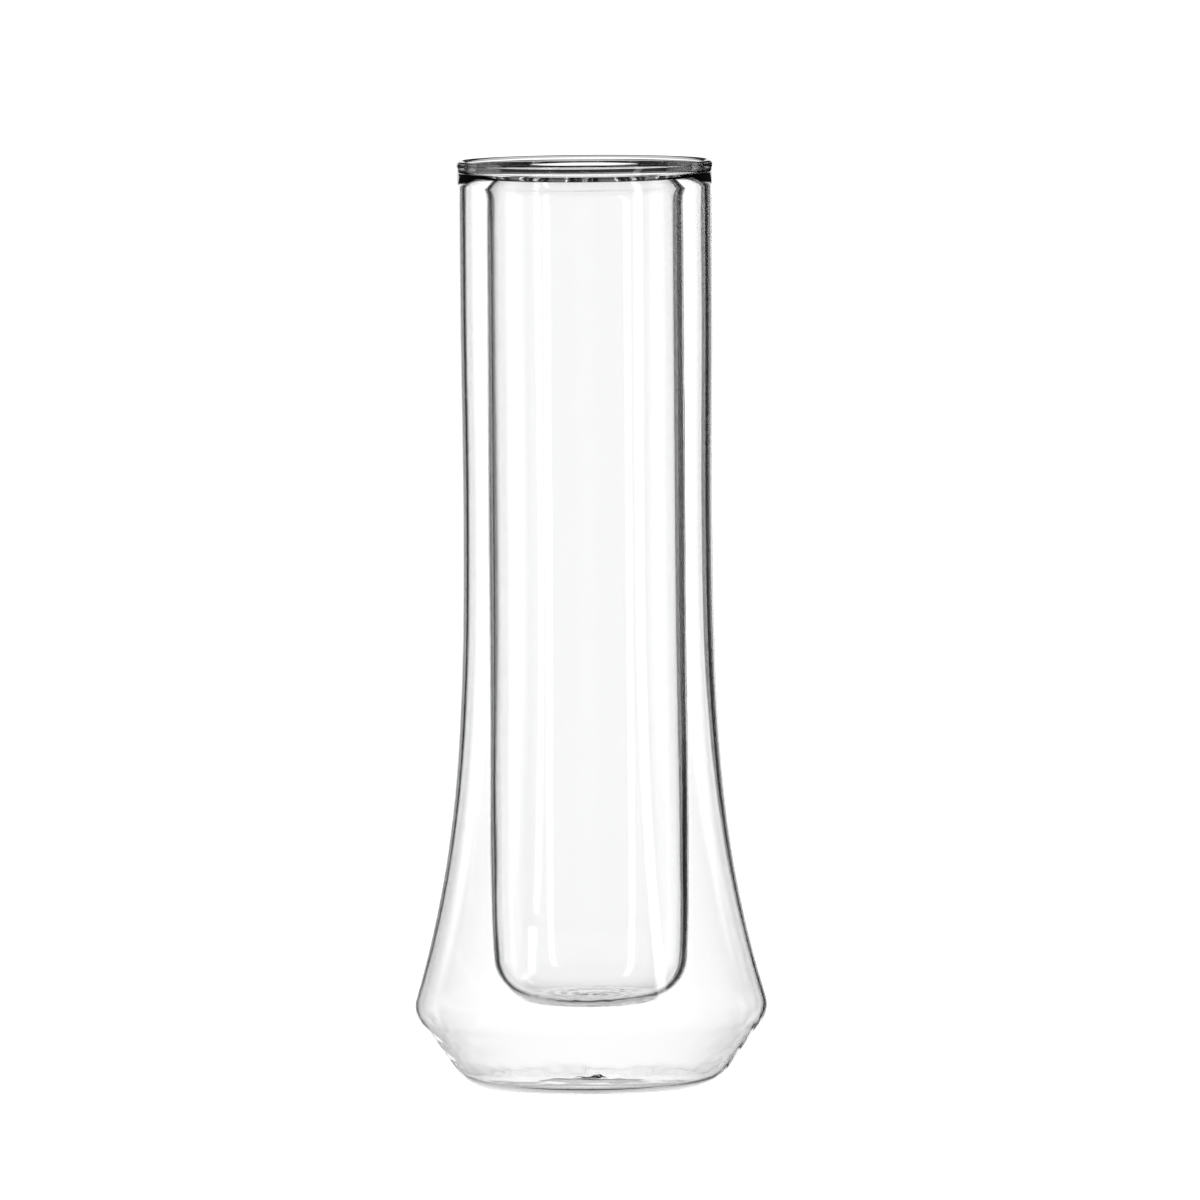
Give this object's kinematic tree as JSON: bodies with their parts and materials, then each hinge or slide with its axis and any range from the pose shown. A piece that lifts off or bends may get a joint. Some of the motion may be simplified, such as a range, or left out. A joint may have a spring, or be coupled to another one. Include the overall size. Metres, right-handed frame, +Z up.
{
  "type": "flower vase",
  "caption": "Tall double-walled clear glass vase with a straight neck, a flared body and a bevelled foot; an inner tube holds the water.",
  "frame": {"origin": "centre of the flat ring that the vase stands on, at table height", "axes": "+Z up along the vase's axis; X and Y lie in the table's plane and, as the vase is round, point anywhere"},
  "size_m": [0.0924, 0.0924, 0.24],
  "materials": {
    "shell_glass": "clear blown borosilicate glass, polished; wall 2.05 mm in the neck, thinning to 1.3 mm in the foot",
    "liner_glass": "clear blown borosilicate glass, polished, 1.6 mm wall",
    "fused_glass": "clear borosilicate glass, flame-melted, smooth"
  },
  "bodies": {
    "root": {"outer_shell": "shell_glass", "inner_liner": "liner_glass", "rim_bead": "fused_glass", "vent_seal": "fused_glass"}
  },
  "joints": []
}
